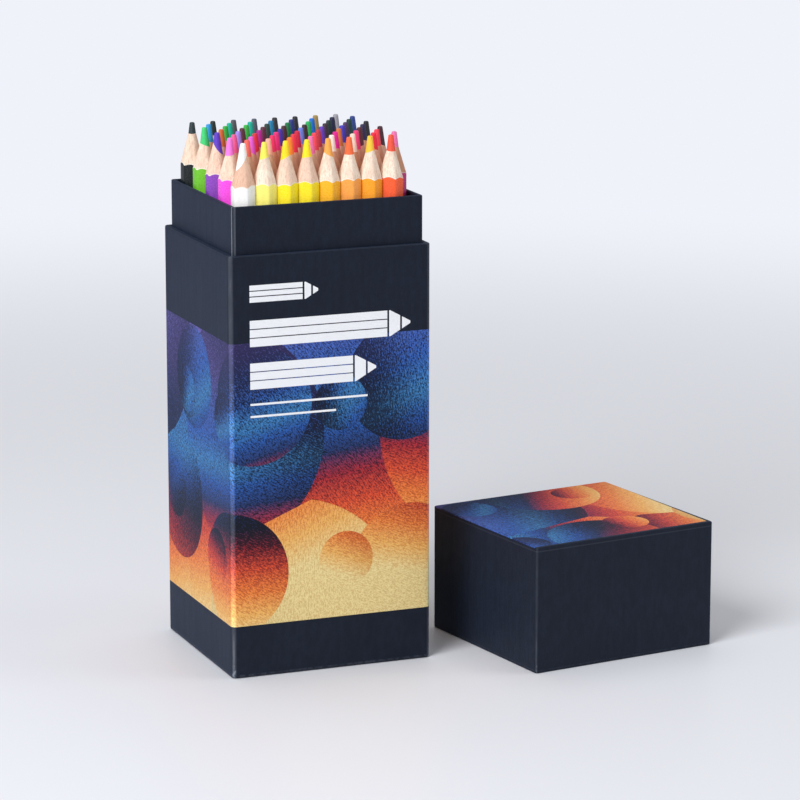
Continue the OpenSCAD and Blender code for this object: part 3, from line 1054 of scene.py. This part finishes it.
def pencil_tree(sizes, finishes):
    """Geometry Nodes that set a sharpened pencil on every seat."""
    group = bpy.data.node_groups.new("Sharpened pencils", "GeometryNodeTree")
    wanted = {"Seats": "Geometry", **dict.fromkeys(sizes, "Float"), "Seed": "Int"}
    wanted.update(dict.fromkeys(finishes, "Material"))
    for name, kind in wanted.items():
        group.interface.new_socket(name, in_out="INPUT", socket_type="NodeSocket" + kind)
    group.interface.new_socket("Pencils", in_out="OUTPUT", socket_type="NodeSocketGeometry")
    tree = Tree(group)
    source = tree.node("NodeGroupInput")

    def given(name):
        return tree.out(source, name)

    # A point of a strip: u goes once round the barrel, v from the strip's start to its end
    u, v, _ = tree.parts(tree.node("GeometryNodeInputPosition"))
    v = v + 0.5
    barrel, outward = hexagon(tree, u, given("Across flats") / 2, given("Edge rounding"))
    join = tree.node("GeometryNodeJoinGeometry")
    for rings, start, end, zone, scalloped, collared in reversed(pencil_strips(given, barrel, v)):
        grid = tree.node("GeometryNodeMeshGrid", 1.0, 1.0, 6 * SIDE_STEPS + 1, rings + 1)
        grid = stored(tree, grid, "outward", outward, "FLOAT_VECTOR")
        grid = stored(tree, grid, "scallop", scalloped)
        grid = stored(tree, grid, "collar", collared)
        grid = stored(tree, grid, "zone", zone, "INT", "FACE")
        radius = tree.between(v, start[0], end[0])
        height = tree.between(v, start[1], end[1])
        where = tree.vector("ADD", tree.scaled(outward, radius), tree.joined(z=height))
        placed = tree.node("GeometryNodeSetPosition", Geometry=grid, Position=where)
        tree.feed(join.inputs[0], placed)
    pencil = tree.node("GeometryNodeMergeByDistance", Geometry=join, Distance=0.002 * MM)

    # One on every seat, each sharpened a little off its axis and with its core a little off too
    chance = tree.node(
        "FunctionNodeRandomValue", data_type="FLOAT", Seed=given("Seed"), Min=0.0, Max=1.0
    )
    seats = stored(tree, given("Seats"), "seed", tree.out(chance, "Value"))
    stood = tree.node("GeometryNodeInstanceOnPoints", Points=seats, Instance=pencil)
    real = tree.node("GeometryNodeRealizeInstances", Geometry=stood)

    def named(name, kind="FLOAT"):
        node = tree.node("GeometryNodeInputNamedAttribute", data_type=kind, Name=name)
        return tree.out(node, "Attribute")

    facing = named("outward", "FLOAT_VECTOR")
    cut = tree.dot(facing, tree.toward(named("seed") * (2 * pi)))
    rise = cut * given("Off centre") / given("Slope") * named("scallop")
    shift = tree.dot(facing, tree.toward(named("bearing"))) * named("drift") - named("reach")
    climb = shift * given("Core drift") / given("Slope") * named("collar")
    inward = climb * tree.between(climb > 0.0, given("Slope"), point_slope(given))
    move = tree.vector("SUBTRACT", tree.joined(z=rise + climb), tree.scaled(facing, inward))
    shaped = tree.node("GeometryNodeSetPosition", Geometry=real, Offset=move)
    zoned = named("zone", "INT")
    for zone, name in enumerate(finishes):
        chosen = tree.node("FunctionNodeCompare", data_type="INT", operation="EQUAL", A=zoned, B=zone)
        shaped = tree.node(
            "GeometryNodeSetMaterial", Geometry=shaped, Selection=chosen, Material=given(name)
        )
    tree.node("NodeGroupOutput", shaped)
    return group


def pencil_nodes():
    """Each pencil node with the row and the columns of its pencils."""
    found = []
    for node in sorted(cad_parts):
        if node.startswith("pencil"):
            words = node.split("_")
            columns = [int(word[1:]) for word in words if word[0] == "c"]
            found.append((node, int(words[1][1:]), list(range(columns[0], columns[-1] + 1))))
    return found


def seats_mesh(row, columns, looks):
    """One point for each pencil's foot, with its colours and the chances of its cut.

    Every other row stands half a pitch to the side.
    """
    shift = 0.25 if row % 2 == 0 else -0.25
    y = (row - (ROWS + 1) / 2) * looks.pitch * cos(pi / 6)
    start = looks.leaning - ((PER_ROW + 1) / 2 - shift) * looks.pitch
    feet = [(start + c * looks.pitch, y, LINER_HIGH.z) for c in columns]
    mesh = bpy.data.meshes.new("seats")
    mesh.from_pydata(feet, [], [])
    for name in ("barrel_colour", "core_colour"):
        mesh.attributes.new(name, "FLOAT_COLOR", "POINT")
    for name in CUTS:
        mesh.attributes.new(name, "FLOAT", "POINT")
    for i, c in enumerate(columns):
        code = BARRELS[row - 1].split()[c - 1]
        core = CORES.get((row, c), code)
        mesh.attributes["barrel_colour"].data[i].color = (*linear(code), 1)
        mesh.attributes["core_colour"].data[i].color = (*linear(core), 1)
        chance = random.Random(row * 100 + c)
        # Pencils not listed, all behind the front row, get darker wood: partly tan, partly painted
        # shade among the points
        even = (
            0.08 + 0.4 * chance.random() ** 2,
            2 * pi * chance.random(),
            0.3 * chance.random(),
            chance.uniform(0.6, 1.0),
        )
        for name, value in zip(CUTS, ODD_CUTS.get((row, c), even)):
            mesh.attributes[name].data[i].value = value
    return mesh


def crease(mesh):
    """Keeps the barrel's ends and the scalloped edge of the lacquer crisp."""
    sharp_from = radians(24)
    mesh.shade_smooth()
    work = bmesh.new()
    work.from_mesh(mesh)
    for edge in work.edges:
        if len(edge.link_faces) == 2:
            one, other = edge.link_faces
            painted = (one.material_index == LACQUER) != (other.material_index == LACQUER)
            edge.smooth = not painted and one.normal.angle(other.normal, 0) < sharp_from
    work.to_mesh(mesh)
    work.free()


class PENCILBOX_OT_pencils(Operator):
    """Make the sharpened pencils, one mesh for each body that lifts out"""

    bl_idname = "pencil_box.pencils"
    bl_label = "Pencils"

    def execute(self, context):
        looks = context.scene.pencil_box.pencils
        sizes = {
            "Across flats": looks.flats,
            "Edge rounding": looks.edge_round,
            "Length": looks.pencil_length,
            "Slope": tan(looks.sharpen_angle / 2),
            "Core radius": looks.core_d / 2,
            "Point radius": looks.point_d / 2,
            "Point length": looks.point_length,
            "Point rounding": looks.point_round,
            "Off centre": looks.off_centre,
            "Core drift": looks.core_drift,
            "Scallops": looks.scallop,
        }
        finishes = dict(zip(ZONES, (lacquer_finish(), wood_finish(looks), core_finish())))
        group = pencil_tree(sizes, finishes)
        sockets = {
            item.name: item.identifier
            for item in group.interface.items_tree
            if item.item_type == "SOCKET" and item.in_out == "INPUT"
        }
        for node, row, columns in pencil_nodes():
            maker = bpy.data.objects.new("seats", seats_mesh(row, columns, looks))
            context.scene.collection.objects.link(maker)
            modifier = maker.modifiers.new("Pencils", "NODES")
            modifier.node_group = group
            for name, value in (sizes | finishes).items():
                modifier[sockets[name]] = value
            modifier[sockets["Seed"]] = row * 100 + columns[0]
            graph = context.evaluated_depsgraph_get()
            mesh = bpy.data.meshes.new_from_object(
                maker.evaluated_get(graph), preserve_all_data_layers=True, depsgraph=graph
            )
            bpy.data.objects.remove(maker)
            mesh.name = node + "_mesh"
            crease(mesh)
            for name in ("outward", "collar", "zone", "drift", "bearing", "reach"):
                mesh.attributes.remove(mesh.attributes[name])
            if not mesh.polygons:
                raise RuntimeError("no pencil was made for " + node)
            add_piece("sharpened_" + node, mesh, [], node, node)
        return {"FINISHED"}


# ---- Stage ----


def floor_finish(looks):
    """Plain pale floor that keeps the object's shadow and goes over to the backdrop far away."""
    made, tree = material("floor")
    floor = tree.node(
        "ShaderNodeBsdfPrincipled", Base_Color=looks.floor, Roughness=0.42, Specular_IOR_Level=0.35
    )
    far = tree.node("ShaderNodeEmission", Color=looks.backdrop, Strength=1.0)
    x, y, _ = tree.parts(tree.place())
    away = tree.math("SQRT", x * x + y * y)
    seen = tree.out(tree.node("ShaderNodeLightPath"), "Is Camera Ray")
    factor = tree.ease(away, 260.0, 900.0) * seen
    mixed = tree.node("ShaderNodeMixShader", factor, floor, far)
    tree.node("ShaderNodeOutputMaterial", mixed)
    return made


def set_world(looks):
    """Even light from all round, and the pale backdrop for what looks at it or mirrors it."""
    world = bpy.data.worlds.new("studio")
    world.use_nodes = True
    world.node_tree.nodes.clear()
    tree = Tree(world.node_tree)
    rays = tree.node("ShaderNodeLightPath")
    glossy = tree.out(rays, "Is Glossy Ray")
    seen = tree.math("MAXIMUM", tree.out(rays, "Is Camera Ray"), glossy)
    seen = tree.math("MAXIMUM", seen, tree.out(rays, "Is Transmission Ray"))
    strength = tree.between(glossy, 1.0, looks.mirrored)
    light = tree.node("ShaderNodeBackground", Color=WHITE, Strength=looks.ambient)
    backdrop = tree.node("ShaderNodeBackground", Color=looks.backdrop, Strength=strength)
    mixed = tree.node("ShaderNodeMixShader", seen, light, backdrop)
    tree.node("ShaderNodeOutputWorld", mixed)
    bpy.context.scene.world = world


def add_lamp(name, place, size, watts):
    """A large soft lamp that faces the middle of the object."""
    aim = Vector((0.03, 0.0, 0.07))
    light = bpy.data.lights.new(name, "AREA")
    light.shape = "DISK"
    light.size = size
    light.energy = watts
    lamp = bpy.data.objects.new(name, light)
    lamp.location = place
    lamp.rotation_euler = (aim - Vector(place)).to_track_quat("-Z", "Y").to_euler()
    bpy.context.scene.collection.objects.link(lamp)


def add_camera(looks):
    """A camera at the photograph's viewing angle, level from side to side."""
    data = bpy.data.cameras.new("camera")
    data.lens = looks.lens
    data.sensor_width = 36
    data.clip_start = 0.05
    data.clip_end = 50
    camera = bpy.data.objects.new("camera", data)
    aimed = Euler((pi / 2 - looks.camera_tilt, 0, -looks.camera_turn)).to_matrix().to_4x4()
    camera.matrix_world = Matrix.Translation(looks.camera_place) @ aimed
    bpy.context.scene.collection.objects.link(camera)
    bpy.context.scene.camera = camera


class PENCILBOX_OT_stage(Operator):
    """Set the plain pale floor, the soft lamps, the backdrop and the camera"""

    bl_idname = "pencil_box.stage"
    bl_label = "Stage"

    def execute(self, context):
        looks = context.scene.pencil_box.stage
        add_camera(looks)
        mesh = bpy.data.meshes.new("floor")
        reach, level = 8.0, -0.05 * MM
        corners = [(x * reach, y * reach, level) for x, y in ((-1, -1), (1, -1), (1, 1), (-1, 1))]
        mesh.from_pydata(corners, [], [(0, 1, 2, 3)])
        mesh.materials.append(floor_finish(looks))
        floor = bpy.data.objects.new("floor", mesh)
        context.scene.collection.objects.link(floor)
        set_world(looks)
        add_lamp("key_lamp", (-1.02, -0.68, 1.05), 0.9, looks.key)
        add_lamp("fill_lamp", (1.6, -0.75, 0.8), 1.0, looks.fill)
        add_lamp("top_lamp", (0.1, 0.35, 1.5), 1.2, looks.over)
        context.scene.view_settings.view_transform = "Standard"
        return {"FINISHED"}


class VIEW3D_PT_pencil_box(Panel):
    """Lists the sizes, the colours and the steps of the pencil box"""

    bl_label = "Pencil Box"
    bl_idname = "VIEW3D_PT_pencil_box"
    bl_space_type = "VIEW_3D"
    bl_region_type = "UI"
    bl_category = "Pencil Box"

    def draw(self, context):
        looks = context.scene.pencil_box
        for name, step in PARTS:
            group = getattr(looks, name)
            box = self.layout.box()
            box.label(text=group.bl_rna.description)
            for prop in group.bl_rna.properties:
                if prop.identifier not in ("rna_type", "name"):
                    box.prop(group, prop.identifier)
            for operator in step:
                box.operator(operator.bl_idname)


PARTS = (
    ("box", (PENCILBOX_OT_inner_layers, PENCILBOX_OT_neck_wrap)),
    ("print", (PENCILBOX_OT_body_wrap, PENCILBOX_OT_lid_wrap)),
    ("pencils", (PENCILBOX_OT_pencils,)),
    ("stage", (PENCILBOX_OT_stage,)),
)
CLASSES = (
    PencilLooks,
    BoxLooks,
    PrintLooks,
    StageLooks,
    PencilBoxLooks,
    *(operator for _, step in PARTS for operator in step),
    VIEW3D_PT_pencil_box,
)


def register():
    for each in CLASSES:
        bpy.utils.register_class(each)
    bpy.types.Scene.pencil_box = PointerProperty(type=PencilBoxLooks)


def unregister():
    del bpy.types.Scene.pencil_box
    for each in reversed(CLASSES):
        bpy.utils.unregister_class(each)


def main():
    register()
    bpy.ops.pencil_box.stage()
    bpy.ops.pencil_box.inner_layers()
    bpy.ops.pencil_box.body_wrap()
    bpy.ops.pencil_box.neck_wrap()
    bpy.ops.pencil_box.lid_wrap()
    bpy.ops.pencil_box.pencils()


if __name__ == "__main__":
    main()
